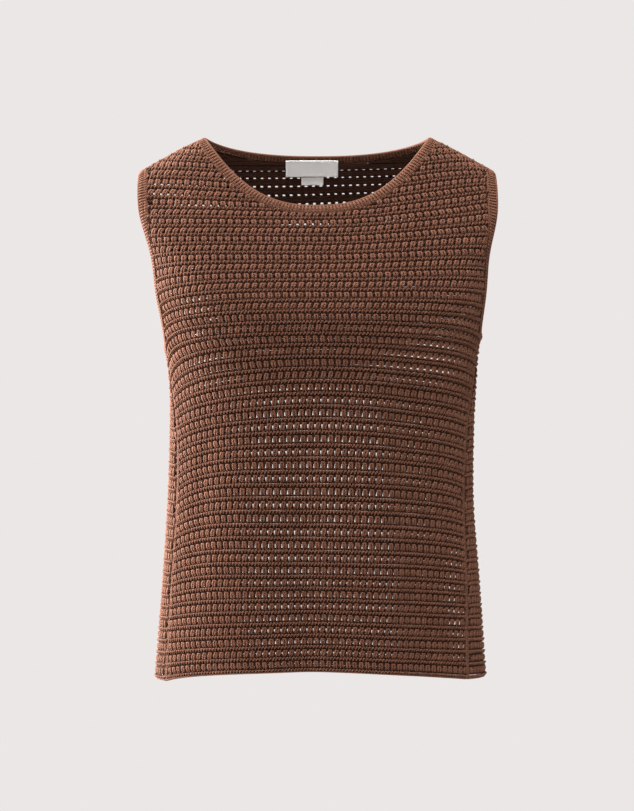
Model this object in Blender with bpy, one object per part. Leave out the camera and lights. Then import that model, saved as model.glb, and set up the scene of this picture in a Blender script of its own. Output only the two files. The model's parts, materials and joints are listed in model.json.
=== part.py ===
"""A sleeveless knit tank top, filled out as if worn, hanging from its shoulders.

The front and back panels are hollow walls of knitted cloth with raised courses of ridges.
A folded band finishes the neck, and a trim finishes each armhole. A blank woven label and a
size tab lie inside the back neck. Z is up, the front faces -Y, and the origin lies between
the shoulders. Sizes are millimetres, made metres as the meshes are built.
"""

import bmesh
import bpy
import math
from mathutils import Vector

MM = 0.001

# Cloth
INNER_FACE = 1.0          # from the middle of the cloth to its plain inner face
MESH_ROW_FACE = 0.6       # from the middle of the cloth to the outer face of a mesh row
RIDGE_HEIGHT = 1.1        # how far a ridge stands above a mesh row
RIDGE_PLACE = 0.25        # where a course has the crest of its ridge
MESH_PLACE = 0.72         # where a course has the bottom of its mesh row
SEAM_GAP = 0.3            # gap between two pieces that are sewn together
SEAM_RADIUS = 150.0       # distance of the side seams from the middle, near enough

# Shoulder line
SHOULDER_TOP = 22.5       # height the shoulder line levels off at, over the neck hole
SHOULDER_SLOPE = 0.565    # fall of the shoulder line for each millimetre outwards
SHOULDER_START = 115.0    # distance from the middle where the fall begins
SHOULDER_EASE = 12.0      # length over which it begins
FRONT_ROLL = (16.0, 22.0, 0.54)   # roll depth, roll height and slope below, at the front
BACK_ROLL = (30.0, 26.0, 0.90)    # the same at the back
ROLL_BLEND = 8.0          # how tightly the shoulder slope meets the body

# Neck edge of the panels
NECK_HALF_WIDTH = 127.0
FRONT_NECK_DROP = 80.0
FRONT_NECK_POWER = 2.5
BACK_NECK_DROP = 18.0
BACK_NECK_POWER = 2.6

# Armhole edge of the panels, as angles round the body from the front
UNDERARM_COURSE = 28.0
ARMHOLE_FRONT_ANGLE = 75.0
ARMHOLE_BACK_ANGLE = 105.0
SCOOP_COURSES = 3.4       # courses over which the underarm rounds up
SCOOP_STEPS = 6
ROLL_STEPS = (0.34, 0.14, 0.04)   # courses below the shoulder seam where the cloth rolls over

# Bands
NECKBAND_WIDTH = 9.0
NECKBAND_THICKNESS = 3.4
TRIM_WIDTH = 9.5
TRIM_THICKNESS = 3.2

# Label and size tab inside the back neck: middle x, top, width, height, thickness
LABEL = {"x": -5.5, "top": -0.5, "width": 57.0, "height": 16.0, "thick": 0.6, "inward": 2.2}
SIZE_TAB = {"x": -5.0, "top": -12.0, "width": 25.0, "height": 12.0, "thick": 0.5, "inward": 1.3}

# Body sections by height: half widths, depths in front and behind the middle, squareness
SECTION_COLUMNS = ("height", "left", "right", "front", "back", "square")
SECTIONS = (
    (-562.0, 172.0, 179.5, 104.0, 98.0, 2.30),
    (-455.0, 163.5, 172.0, 104.0, 98.0, 2.30),
    (-370.0, 158.0, 165.5, 103.0, 98.0, 2.30),
    (-290.0, 155.5, 166.0, 102.0, 99.0, 2.30),
    (-245.0, 156.0, 168.5, 105.0, 101.0, 2.30),
    (-207.0, 161.0, 171.5, 111.0, 103.0, 2.30),
    (-155.0, 172.4, 181.6, 132.0, 106.0, 2.30),
    (-113.0, 178.2, 185.5, 130.0, 107.0, 2.30),
    (-80.0, 187.3, 191.6, 126.0, 108.0, 2.30),
    (-20.0, 196.6, 196.6, 108.0, 108.0, 2.30),
    (60.0, 196.6, 196.6, 108.0, 108.0, 2.30),
)

# Knitted courses, counted from the hem: height at the middle, how far a course bows and
# droops from there to its left and right ends, how far the back rises at its middle, and the
# angles of the ends from the front, which are the side seams as far up as the underarm
COURSE_COLUMNS = ("course", "middle", "left_bow", "left_droop", "right_bow", "right_droop",
                  "back_rise", "left_end", "right_end")
COURSES = (
    (0.0, -544.2, -8.0, -6.3, -10.5, -1.1, -3.0, 73.7, 70.3),
    (3.72, -500.0, -7.0, -4.0, -9.0, 0.5, -1.0, 73.7, 71.0),
    (9.72, -426.2, 2.0, -16.7, -6.0, -6.0, 2.0, 73.5, 72.5),
    (15.72, -343.7, -1.0, -21.0, -9.0, -9.0, 6.0, 73.0, 74.0),
    (21.72, -262.3, -16.0, -10.0, -17.0, -4.0, 9.0, 75.0, 77.0),
    (25.72, -211.3, -13.0, -23.5, -12.0, -9.0, 10.0, 81.0, 82.0),
    (28.0, -185.0, -7.0, -24.0, -6.0, -11.5, 9.0, 85.0, 85.0),
    (31.72, -144.6, -5.0, -12.5, 6.0, -5.0, 6.0, 80.0, 80.0),
    (34.72, -115.4, 1.0, -4.0, 12.0, -5.0, 3.0, 77.0, 77.0),
    (37.72, -85.1, 2.0, 0.0, 22.0, -4.0, 0.0, 77.0, 77.0),
    (39.72, -65.3, 7.0, -2.0, 29.0, -6.0, -2.0, 77.0, 77.0),
    (42.72, -36.0, 19.0, -8.0, 38.0, -20.0, -4.0, 77.0, 77.0),
    (47.0, 4.0, 20.0, -10.0, 40.0, -22.0, -6.0, 77.0, 77.0),
    (51.0, 44.0, 20.0, -10.0, 40.0, -22.0, -6.0, 77.0, 77.0),
)

# Folds and fullness: angle round the body at the top and at the foot, the heights between
# which it fades in and out, its angular spread, and its depth (inwards is negative)
FOLD_COLUMNS = ("top_angle", "foot_angle", "top", "full", "fade", "foot", "spread", "depth")
FOLDS = (
    (-14.0, -5.0, -190.0, -420.0, -600.0, -650.0, 11.0, -6.5),
    (27.0, 38.0, -180.0, -300.0, -600.0, -650.0, 9.0, 3.5),
    (45.0, 52.0, -170.0, -260.0, -600.0, -650.0, 6.0, -4.0),
    (-36.0, -34.0, -180.0, -330.0, -600.0, -650.0, 12.0, 2.5),
    (-32.0, -30.0, -85.0, -150.0, -165.0, -235.0, 15.0, 4.0),
    (31.0, 30.0, -85.0, -150.0, -165.0, -235.0, 15.0, 4.0),
    (146.0, 150.0, -150.0, -330.0, -600.0, -650.0, 9.0, -4.5),
    (-143.0, -147.0, -140.0, -330.0, -600.0, -650.0, 10.0, -4.0),
    (180.0, 176.0, -120.0, -300.0, -600.0, -650.0, 14.0, 3.0),
    (-112.0, -114.0, -260.0, -400.0, -600.0, -650.0, 8.0, -3.0),
    (112.0, 110.0, -280.0, -420.0, -600.0, -650.0, 8.0, -3.0),
)

# How the panels are divided: shares of the way from the middle to the neck point, and from
# there to the side
NECK_SHARES = (0.0, 0.17, 0.34, 0.50, 0.65, 0.79, 0.90, 0.97, 0.995)
SIDE_SHARES = (0.0, 0.33, 0.67, 1.0)
INNER_COURSE_STEP = 2
TOP_ROOM = 0.15           # courses kept free of corners below a neck edge
ROLL_ROOM = 0.45          # the same below a shoulder seam, which has its own
CORNER_ROOM = 0.2         # the same at each end of the underarm scoop
TOP_SEARCH = (30.0, 50.0)         # courses between which every panel ends
NECK_SEARCH = (0.3, 0.95)         # shares of a panel between which its neck point lies
LABEL_SEARCH = (-0.6, 0.6)        # the same for anything on the label


def interpolate(table, columns, name, at):
    """Read a named column of a table at a value of its first column, along a smooth curve."""
    rows = [(row[0], row[columns.index(name)]) for row in table]
    if at <= rows[0][0]:
        return rows[0][1]
    if at >= rows[-1][0]:
        return rows[-1][1]
    low = max(i for i, row in enumerate(rows) if row[0] <= at)

    def slope(i):
        before, after = max(i - 1, 0), min(i + 1, len(rows) - 1)
        return (rows[after][1] - rows[before][1]) / (rows[after][0] - rows[before][0])

    (start, first), (end, last) = rows[low], rows[low + 1]
    span = end - start
    s = (at - start) / span
    return (first * (1 + 2 * s) * (1 - s) ** 2 + last * s * s * (3 - 2 * s)
            + span * (slope(low) * s * (1 - s) ** 2 - slope(low + 1) * s * s * (1 - s)))


def section(name, height):
    return interpolate(SECTIONS, SECTION_COLUMNS, name, height)


def course_value(name, course):
    return interpolate(COURSES, COURSE_COLUMNS, name, course)


def ease(value):
    """Rise smoothly from 0 to 1."""
    value = min(max(value, 0.0), 1.0)
    return value * value * (3 - 2 * value)


def fold_offset(angle, height):
    """How far the folds move the cloth outwards at this angle and height."""
    offset = 0.0
    for row in FOLDS:
        fold = dict(zip(FOLD_COLUMNS, row))
        way_down = ease((fold["top"] - height) / (fold["top"] - fold["fade"]))
        centre = fold["top_angle"] + (fold["foot_angle"] - fold["top_angle"]) * way_down
        away = (angle - centre + 180) % 360 - 180
        strength = ease((fold["top"] - height) / (fold["top"] - fold["full"]))
        strength *= ease((height - fold["foot"]) / (fold["fade"] - fold["foot"]))
        offset += fold["depth"] * strength * math.exp(-0.5 * (away / fold["spread"]) ** 2)
    return offset


def shoulder_line(x):
    """Height of the shoulder line, where the front and the back meet."""
    fall = SHOULDER_EASE * math.log1p(math.exp((abs(x) - SHOULDER_START) / SHOULDER_EASE))
    return SHOULDER_TOP - SHOULDER_SLOPE * fall


def shoulder_normal(x):
    """Upward direction square to the shoulder line."""
    slope = SHOULDER_SLOPE / (1 + math.exp((SHOULDER_START - abs(x)) / SHOULDER_EASE))
    return Vector((math.copysign(slope, x), 0.0, 1.0)).normalized()


def neck_line(x, drop, power):
    """Height of a panel's neck edge."""
    neck_point = shoulder_line(NECK_HALF_WIDTH)
    return neck_point - drop * (1 - min(abs(x) / NECK_HALF_WIDTH, 1.0) ** power)


def side_angle(panel, side, course):
    """Angle round the body of a panel's side edge: its side seam, then its armhole."""
    name = "left_end" if side < 0 else "right_end"
    if course <= UNDERARM_COURSE:
        return course_value(name, course)
    underarm = course_value(name, UNDERARM_COURSE)
    scoop = min((course - UNDERARM_COURSE) / SCOOP_COURSES, 1.0)
    edge = ARMHOLE_FRONT_ANGLE if panel == "front" else ARMHOLE_BACK_ANGLE
    return underarm + (edge - underarm) * math.sqrt(1 - (1 - scoop) ** 2)


def course_height(panel, angle, course):
    """Height of a knitted course at an angle round the body, negative on the left."""
    middle = course_value("middle", course)
    bows = {side: (course_value(side + "_bow", course), course_value(side + "_droop", course))
            for side in ("left", "right")}
    side = "left" if angle < 0 else "right"
    end = course_value(side + "_end", course)
    if panel == "front":
        across = angle / end
        bow, droop = bows[side]
        return middle + bow * across ** 2 + droop * across ** 6
    across = (180 - abs(angle)) / (180 - end) * (-1 if angle < 0 else 1)
    left, right = sum(bows["left"]), sum(bows["right"])
    rise = course_value("back_rise", course) * (1 - across ** 2)
    return middle + left + (right - left) * (across + 1) / 2 + rise


def cloth_point(panel, across, course, inset=0.0):
    """A point on the middle of the cloth; across runs from -1 at its left edge to 1 at its
    right edge. The side edges are drawn in by the inset."""
    edge = side_angle(panel, across, course)
    inset_angle = math.degrees(inset / SEAM_RADIUS)
    if panel == "front":
        angle = (edge - inset_angle) * across
    else:
        turn = 180 - (180 - edge - inset_angle) * abs(across)
        angle = turn if across > 0 else -turn
    height = course_height(panel, angle, course)
    sine, cosine = math.sin(math.radians(angle)), math.cos(math.radians(angle))
    half = section("left" if sine < 0 else "right", height)
    depth = section("front" if cosine > 0 else "back", height)
    square = section("square", height)
    reach = ((abs(sine) / half) ** square + (abs(cosine) / depth) ** square) ** (-1 / square)
    reach += fold_offset(angle, height)
    x, flat = reach * sine, reach * abs(cosine)
    below = max(shoulder_line(x) - height, 0.0)
    roll_depth, roll_height, slope = FRONT_ROLL if cosine > 0 else BACK_ROLL
    round_off = min(below / roll_height, 1.0)
    lean = slope * below + roll_depth * math.sqrt(1 - (1 - round_off) ** 2)
    if lean > 0 and flat > 0:
        flat = (lean ** -ROLL_BLEND + flat ** -ROLL_BLEND) ** (-1 / ROLL_BLEND)
    else:
        flat = 0.0
    return Vector((x, -flat if cosine > 0 else flat, height))


def cloth_normal(panel, across, course):
    """The outward direction of the cloth."""
    step, rise = 0.01, 0.1
    left, right = max(across - step, -1.0), min(across + step, 1.0)
    sideways = cloth_point(panel, right, course) - cloth_point(panel, left, course)
    upwards = cloth_point(panel, across, course) - cloth_point(panel, across, course - rise)
    normal = sideways.cross(upwards).normalized()
    return normal if panel == "front" else -normal


def edge_station(panel, across, course, inset=0.0):
    """A point of the cloth and its outward direction, square to the line on the shoulder line."""
    point = cloth_point(panel, across, course, inset)
    if point.z > shoulder_line(point.x) - 0.01:
        point.y = 0.0
        return point, shoulder_normal(point.x)
    return point, cloth_normal(panel, across, course)


def find(low, high, is_below):
    """Halve an interval down to the value where is_below stops being true."""
    for _ in range(40):
        middle = (low + high) / 2
        if is_below(middle):
            low = middle
        else:
            high = middle
    return low


def top_edge(panel, x):
    drop, power = ((FRONT_NECK_DROP, FRONT_NECK_POWER) if panel == "front"
                   else (BACK_NECK_DROP, BACK_NECK_POWER))
    if abs(x) < NECK_HALF_WIDTH:
        return neck_line(x, drop, power)
    return shoulder_line(x)


def top_course(panel, across):
    """The course at which a panel ends, at its neck edge or its shoulder seam."""
    def is_below(course):
        point = cloth_point(panel, across, course)
        return point.z < top_edge(panel, point.x)
    return find(*TOP_SEARCH, is_below)


def panel_columns(panel):
    """Where the panel is divided from side to side, with a division at each neck point."""
    def neck_point(side):
        def is_inside(share):
            across = side * share
            return abs(cloth_point(panel, across, top_course(panel, across)).x) < NECK_HALF_WIDTH
        return find(*NECK_SEARCH, is_inside)

    shares = {}
    for side in (-1, 1):
        point = neck_point(side)
        shares[side] = [share * point for share in NECK_SHARES]
        shares[side] += [point + share * (1 - point) for share in SIDE_SHARES]
    return [-share for share in reversed(shares[-1])] + shares[1][1:]


def half_courses(end, is_shoulder):
    """Each crest and each mesh row from the hem up to a course, closer on top of a shoulder."""
    steps = [0.0]
    course = 0
    while course + MESH_PLACE < end:
        steps += [course + RIDGE_PLACE, course + MESH_PLACE]
        course += 1
    if is_shoulder:
        return [step for step in steps if step < end - ROLL_ROOM] + [end - part for part in ROLL_STEPS]
    return [step for step in steps if step < end - TOP_ROOM]


def scoop_courses():
    """Courses at even turns round the scoop of the underarm."""
    turns = [math.radians(90) * step / SCOOP_STEPS for step in range(SCOOP_STEPS + 1)]
    return [UNDERARM_COURSE + SCOOP_COURSES * (1 - math.cos(turn)) for turn in turns]


def edge_courses(panel, side):
    """Courses of a side edge's corners: the seam's, the scoop's, then the armhole's."""
    scoop = scoop_courses()
    steps = [step for step in half_courses(top_course(panel, side), True)
             if not scoop[0] - CORNER_ROOM < step < scoop[-1] + CORNER_ROOM]
    return sorted(steps + scoop)


def outer_face(course):
    """Distance from the middle of the cloth to its outer face."""
    place = (course - RIDGE_PLACE) % 1.0
    fall = MESH_PLACE - RIDGE_PLACE
    share = 1 - place / fall if place < fall else (place - fall) / (1 - fall)
    return MESH_ROW_FACE + RIDGE_HEIGHT * share


def fill_strip(mesh, left, right, flip):
    """Fill between two rising rows of (course, corner) pairs."""
    i = j = 0
    while i < len(left) - 1 or j < len(right) - 1:
        next_left = left[i + 1][0] if i < len(left) - 1 else math.inf
        next_right = right[j + 1][0] if j < len(right) - 1 else math.inf
        corners = [left[i][1], right[j][1]]
        if abs(next_left - next_right) < 0.01:
            corners += [right[j + 1][1], left[i + 1][1]]
            i, j = i + 1, j + 1
        elif next_left < next_right:
            corners.append(left[i + 1][1])
            i += 1
        else:
            corners.append(right[j + 1][1])
            j += 1
        mesh.faces.new(reversed(corners) if flip else corners)


def add_column(mesh, panel, across, courses, is_outer):
    """Add one row of corners up a face of the panel, ending on its top edge."""
    column = []
    top = top_course(panel, across)
    inset = SEAM_GAP / 2 if abs(across) == 1 else 0.0
    for course in courses + [top]:
        point, normal = edge_station(panel, across, course, inset)
        offset = outer_face(course) if is_outer else -INNER_FACE
        if point.y == 0:
            point.y = -SEAM_GAP / 2 if panel == "front" else SEAM_GAP / 2
        column.append((course, mesh.verts.new((point + normal * offset) * MM)))
    return column


def knit_panel(panel):
    """A panel's wall: ridged outside, plain inside, open at nothing but its own edges."""
    mesh = bmesh.new()
    outer, inner = [], []
    columns = panel_columns(panel)
    for across in columns:
        if abs(across) == 1:
            courses = edge_courses(panel, across)
            plain = courses
        else:
            top = top_course(panel, across)
            is_shoulder = abs(cloth_point(panel, across, top).x) > NECK_HALF_WIDTH - 0.01
            courses = half_courses(top, is_shoulder)
            plain = list(range(0, int(courses[-1]), INNER_COURSE_STEP))
            if is_shoulder:
                plain += courses[-len(ROLL_STEPS):]
        outer.append(add_column(mesh, panel, across, courses, True))
        inner.append(add_column(mesh, panel, across, plain, False))
    is_back = panel == "back"
    for i in range(len(columns) - 1):
        fill_strip(mesh, outer[i], outer[i + 1], is_back)
        fill_strip(mesh, inner[i], inner[i + 1], not is_back)
        for end in (0, -1):
            corners = [outer[i][end][1], inner[i][end][1], inner[i + 1][end][1], outer[i + 1][end][1]]
            mesh.faces.new(reversed(corners) if (end == -1) != is_back else corners)
    fill_strip(mesh, inner[0], outer[0], is_back)
    fill_strip(mesh, outer[-1], inner[-1], is_back)
    return mesh


def band_section(width, thickness):
    """The rounded, flattened outline of a folded band: (distance from its seam, height)."""
    half = thickness / 2
    return ((SEAM_GAP, -0.6 * half), (SEAM_GAP, 0.6 * half),
            (SEAM_GAP + 0.22 * width, half), (SEAM_GAP + 0.78 * width, half),
            (SEAM_GAP + width, 0.4 * half), (SEAM_GAP + width, -0.4 * half),
            (SEAM_GAP + 0.78 * width, -half), (SEAM_GAP + 0.22 * width, -half))


def band_ring(stations, width, thickness):
    """A closed band along (point, outward normal) stations, lying to one side of them."""
    mesh = bmesh.new()
    rings = []
    count = len(stations)
    for i, (point, normal) in enumerate(stations):
        before, after = stations[i - 1][0], stations[(i + 1) % count][0]
        arrive, leave = (point - before).normalized(), (after - point).normalized()
        along = (arrive + leave).normalized()
        sideways = along.cross(normal).normalized() / arrive.dot(along)
        ring = [mesh.verts.new((point + sideways * away + normal * high) * MM)
                for away, high in band_section(width, thickness)]
        rings.append(ring)
    for i, ring in enumerate(rings):
        following = rings[(i + 1) % count]
        for j in range(len(ring)):
            k = (j + 1) % len(ring)
            mesh.faces.new((ring[j], ring[k], following[k], following[j]))
    bmesh.ops.recalc_face_normals(mesh, faces=mesh.faces)
    return mesh


def neck_stations():
    """Stations round the neck edge: the front from right to left, then the back."""
    ring = []
    for panel, direction in (("front", -1), ("back", 1)):
        columns = [c for c in panel_columns(panel)
                   if abs(cloth_point(panel, c, top_course(panel, c)).x) <= NECK_HALF_WIDTH + 0.01]
        columns.sort(key=lambda c: c * direction)
        stations = [edge_station(panel, c, top_course(panel, c)) for c in columns]
        ring += stations[:-1]
    return ring


def armhole_stations(side):
    """Stations round an armhole edge: down the front, then up the back."""
    ring = []
    for panel in ("front", "back"):
        courses = [c for c in edge_courses(panel, side) if c >= UNDERARM_COURSE]
        courses.append(top_course(panel, side))
        stations = [edge_station(panel, side, course) for course in courses]
        if panel == "front":
            stations.reverse()
        ring += stations[:-1]
    return ring if side < 0 else ring[::-1]


def lying_piece(size):
    """A thin piece that follows the inside of the back neck, moved in from the cloth's points."""
    mesh = bmesh.new()
    steps_wide, steps_high = 6, 2
    layers = []
    for depth in (size["inward"], size["inward"] + size["thick"]):
        rows = []
        for high in range(steps_high + 1):
            row = []
            for wide in range(steps_wide + 1):
                x = size["x"] + size["width"] * (wide / steps_wide - 0.5)
                height = size["top"] - size["height"] * high / steps_high
                course = find(*TOP_SEARCH, lambda c: course_height("back", 180, c) < height)
                across = find(*LABEL_SEARCH, lambda a: cloth_point("back", a, course).x < x)
                point = cloth_point("back", across, course)
                row.append(mesh.verts.new((point - cloth_normal("back", across, course) * depth) * MM))
            rows.append(row)
        layers.append(rows)
    for rows, flip in zip(layers, (False, True)):
        for upper, lower in zip(rows, rows[1:]):
            for i in range(steps_wide):
                corners = (upper[i], upper[i + 1], lower[i + 1], lower[i])
                mesh.faces.new(reversed(corners) if flip else corners)
    rims = [[rows[end] for rows in layers] for end in (0, -1)]
    rims += [[[row[end] for row in rows] for rows in layers] for end in (0, -1)]
    for near, far in rims:
        for i in range(len(near) - 1):
            mesh.faces.new((near[i], near[i + 1], far[i + 1], far[i]))
    bmesh.ops.recalc_face_normals(mesh, faces=mesh.faces)
    return mesh


def material(name, colour, roughness):
    made = bpy.data.materials.new(name)
    made.use_nodes = True
    shader = made.node_tree.nodes["Principled BSDF"]
    shader.inputs["Base Color"].default_value = (*colour, 1.0)
    shader.inputs["Roughness"].default_value = roughness
    shader.inputs["Metallic"].default_value = 0.0
    return made


def add_object(name, mesh, finish, collection):
    data = bpy.data.meshes.new(name)
    mesh.to_mesh(data)
    mesh.free()
    data.materials.append(finish)
    made = bpy.data.objects.new(name, data)
    collection.objects.link(made)
    return made


def main():
    for old in list(bpy.data.objects):
        bpy.data.objects.remove(old, do_unlink=True)
    tank_top = bpy.data.collections.new("knit_tank_top")
    bpy.context.scene.collection.children.link(tank_top)

    brown_knit = (0.175, 0.075, 0.045)
    for panel in ("front", "back"):
        finish = material(panel + "_knit", brown_knit, 0.85)
        add_object(panel + "_panel", knit_panel(panel), finish, tank_top)

    neckband = band_ring(neck_stations(), NECKBAND_WIDTH, NECKBAND_THICKNESS)
    add_object("neckband", neckband, material("neck_rib", brown_knit, 0.82), tank_top)
    for name, side in (("left", -1), ("right", 1)):
        trim = band_ring(armhole_stations(side), TRIM_WIDTH, TRIM_THICKNESS)
        finish = material("armhole_rib_" + name, brown_knit, 0.82)
        add_object("armhole_trim_" + name, trim, finish, tank_top)

    white = (0.80, 0.79, 0.77)
    add_object("neck_label", lying_piece(LABEL), material("label_weave", white, 0.55), tank_top)
    add_object("size_tab", lying_piece(SIZE_TAB), material("tab_weave", white, 0.60), tank_top)


main()
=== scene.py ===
"""A sleeveless open-knit tank top, filled out as if worn, with its neckband, armhole trims and
blank label. The CAD frame gives the solids that the pieces replace. Z is up and the front
faces -Y. The garment is worked out in millimetres and made metres as each mesh is built."""

import json
import math

import bmesh
import bpy
import numpy as np
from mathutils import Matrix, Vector

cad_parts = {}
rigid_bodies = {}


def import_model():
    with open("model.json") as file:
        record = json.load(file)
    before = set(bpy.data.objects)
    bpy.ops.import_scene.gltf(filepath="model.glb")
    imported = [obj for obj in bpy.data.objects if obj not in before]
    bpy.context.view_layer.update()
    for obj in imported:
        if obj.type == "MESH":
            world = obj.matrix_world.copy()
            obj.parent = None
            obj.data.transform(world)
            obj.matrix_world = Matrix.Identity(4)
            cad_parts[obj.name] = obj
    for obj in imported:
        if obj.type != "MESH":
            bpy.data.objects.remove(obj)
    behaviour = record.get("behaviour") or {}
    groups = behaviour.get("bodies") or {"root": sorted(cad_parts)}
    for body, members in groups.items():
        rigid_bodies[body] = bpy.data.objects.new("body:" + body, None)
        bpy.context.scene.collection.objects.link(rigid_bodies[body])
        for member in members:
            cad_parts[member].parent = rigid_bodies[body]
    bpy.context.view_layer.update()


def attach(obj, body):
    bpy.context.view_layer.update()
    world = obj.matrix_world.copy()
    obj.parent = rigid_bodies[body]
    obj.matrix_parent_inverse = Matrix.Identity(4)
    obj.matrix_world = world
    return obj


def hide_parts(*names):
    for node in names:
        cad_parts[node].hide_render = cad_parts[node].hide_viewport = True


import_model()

# ------------------------------------------------------------------------------------- camera
# Straight on to the front, level with the bust, a few steps away.
CAMERA_PLACE = (0.0, -3.0, -0.2686)
IMAGE_WIDTH = 634
PIXEL = 0.00107           # width of a pixel at the middle of the garment
SENSOR_WIDTH = 36.0

camera_data = bpy.data.cameras.new("camera")
camera_data.sensor_fit = "HORIZONTAL"
camera_data.sensor_width = SENSOR_WIDTH
camera_data.lens = -SENSOR_WIDTH * CAMERA_PLACE[1] / (IMAGE_WIDTH * PIXEL)
camera = bpy.data.objects.new("camera", camera_data)
camera.location = CAMERA_PLACE
camera.rotation_euler = (math.radians(90), 0.0, 0.0)
bpy.context.scene.collection.objects.link(camera)
bpy.context.scene.camera = camera

# ---------------------------------------------------------------------- front and back panels
# The front and the back are open knits of brown cotton, made flat from the hem up, shaped at
# the neck and the armholes, and sewn at the sides and over the shoulders. Filled out, they
# are an oval tube that hangs straight from the bust, with a few soft folds below it.
MM = 0.001

# Body sections by height: half widths, and depths in front of the middle and behind it
SECTIONS = (
    ("height", "left", "right", "front", "back"),
    (-562.0, 172.0, 179.5, 104.0, 98.0),
    (-455.0, 163.5, 172.0, 104.0, 98.0),
    (-370.0, 158.0, 165.5, 103.0, 98.0),
    (-290.0, 155.5, 166.0, 102.0, 99.0),
    (-245.0, 156.0, 168.5, 105.0, 101.0),
    (-207.0, 161.0, 171.5, 111.0, 103.0),
    (-155.0, 172.4, 181.6, 132.0, 106.0),
    (-113.0, 178.2, 185.5, 130.0, 107.0),
    (-80.0, 187.3, 191.6, 126.0, 108.0),
    (-20.0, 196.6, 196.6, 108.0, 108.0),
    (60.0, 196.6, 196.6, 108.0, 108.0),
)
SQUARENESS = 2.3          # power of the sections' ovals, 2 for an ellipse

# Knitted courses, counted from the hem: height at the middle, how far a course bows and
# droops from there to its left and right ends, how far the back rises at its middle, and the
# angles of the ends from the front, which are the side seams as far up as the underarm
COURSES = (
    ("course", "middle", "left_bow", "left_droop", "right_bow", "right_droop", "back_rise",
     "left_end", "right_end"),
    (0.0, -544.2, -8.0, -6.3, -10.5, -1.1, -3.0, 73.7, 70.3),
    (3.72, -500.0, -7.0, -4.0, -9.0, 0.5, -1.0, 73.7, 71.0),
    (9.72, -426.2, 2.0, -16.7, -6.0, -6.0, 2.0, 73.5, 72.5),
    (15.72, -343.7, -1.0, -21.0, -9.0, -9.0, 6.0, 73.0, 74.0),
    (21.72, -262.3, -16.0, -10.0, -17.0, -4.0, 9.0, 75.0, 77.0),
    (25.72, -211.3, -13.0, -23.5, -12.0, -9.0, 10.0, 81.0, 82.0),
    (28.0, -185.0, -7.0, -24.0, -6.0, -11.5, 9.0, 85.0, 85.0),
    (31.72, -144.6, -5.0, -12.5, 6.0, -5.0, 6.0, 80.0, 80.0),
    (34.72, -115.4, 1.0, -4.0, 12.0, -5.0, 3.0, 77.0, 77.0),
    (37.72, -85.1, 2.0, 0.0, 22.0, -4.0, 0.0, 77.0, 77.0),
    (39.72, -65.3, 7.0, -2.0, 29.0, -6.0, -2.0, 77.0, 77.0),
    (42.72, -36.0, 19.0, -8.0, 38.0, -20.0, -4.0, 77.0, 77.0),
    (47.0, 4.0, 20.0, -10.0, 40.0, -22.0, -6.0, 77.0, 77.0),
    (51.0, 44.0, 20.0, -10.0, 40.0, -22.0, -6.0, 77.0, 77.0),
)

# Folds and creases: angle round the body at the top and at the foot, the heights between
# which each fades in and out, its angular spread, and its depth (inwards is negative). The
# first are the large folds of the solid, and the rest are creases of the soft cloth.
FOLDS = (
    (-14.0, -5.0, -190.0, -420.0, -600.0, -650.0, 11.0, -6.5),
    (27.0, 38.0, -180.0, -300.0, -600.0, -650.0, 9.0, 3.5),
    (45.0, 52.0, -170.0, -260.0, -600.0, -650.0, 6.0, -4.0),
    (-36.0, -34.0, -180.0, -330.0, -600.0, -650.0, 12.0, 2.5),
    (-32.0, -30.0, -85.0, -150.0, -165.0, -235.0, 15.0, 4.0),
    (31.0, 30.0, -85.0, -150.0, -165.0, -235.0, 15.0, 4.0),
    (146.0, 150.0, -150.0, -330.0, -600.0, -650.0, 9.0, -4.5),
    (-143.0, -147.0, -140.0, -330.0, -600.0, -650.0, 10.0, -4.0),
    (180.0, 176.0, -120.0, -300.0, -600.0, -650.0, 14.0, 3.0),
    (-112.0, -114.0, -260.0, -400.0, -600.0, -650.0, 8.0, -3.0),
    (112.0, 110.0, -280.0, -420.0, -600.0, -650.0, 8.0, -3.0),
    (58.0, 64.0, -380.0, -470.0, -600.0, -650.0, 3.5, -2.0),
    (-56.0, -60.0, -250.0, -330.0, -430.0, -520.0, 4.0, -1.6),
    (128.0, 124.0, -110.0, -190.0, -330.0, -430.0, 5.0, -1.8),
    (-127.0, -122.0, -120.0, -200.0, -300.0, -400.0, 5.0, -1.8),
    (163.0, 160.0, -300.0, -400.0, -600.0, -650.0, 5.0, 1.6),
)

SHOULDER_TOP = 22.5       # height the shoulder line levels off at, over the neck hole
SHOULDER_SLOPE = 0.565    # fall of the shoulder line for each millimetre outwards
SHOULDER_START = 115.0    # distance from the middle where the fall begins
SHOULDER_EASE = 12.0      # length over which it begins
ROLL_BLEND = 8.0          # how tightly the shoulder slope meets the body
NECK_HALF_WIDTH = 127.0
# Depth, height and slope of the roll over the shoulders, then drop and power of the neck edge
ROLLS = {"front": (16.0, 22.0, 0.54), "back": (30.0, 26.0, 0.90)}
NECKS = {"front": (80.0, 2.5), "back": (18.0, 2.6)}
UNDERARM_COURSE = 28.0    # where the side seams end
ARMHOLE_ANGLES = {"front": 75.0, "back": 105.0}
SCOOP_COURSES = 3.4       # courses over which the underarm rounds up
TOP_COURSE = 50.0         # above every edge of the panels
ACROSS_STEP, COURSE_STEP = 0.004, 0.12  # to measure directions over


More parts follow.
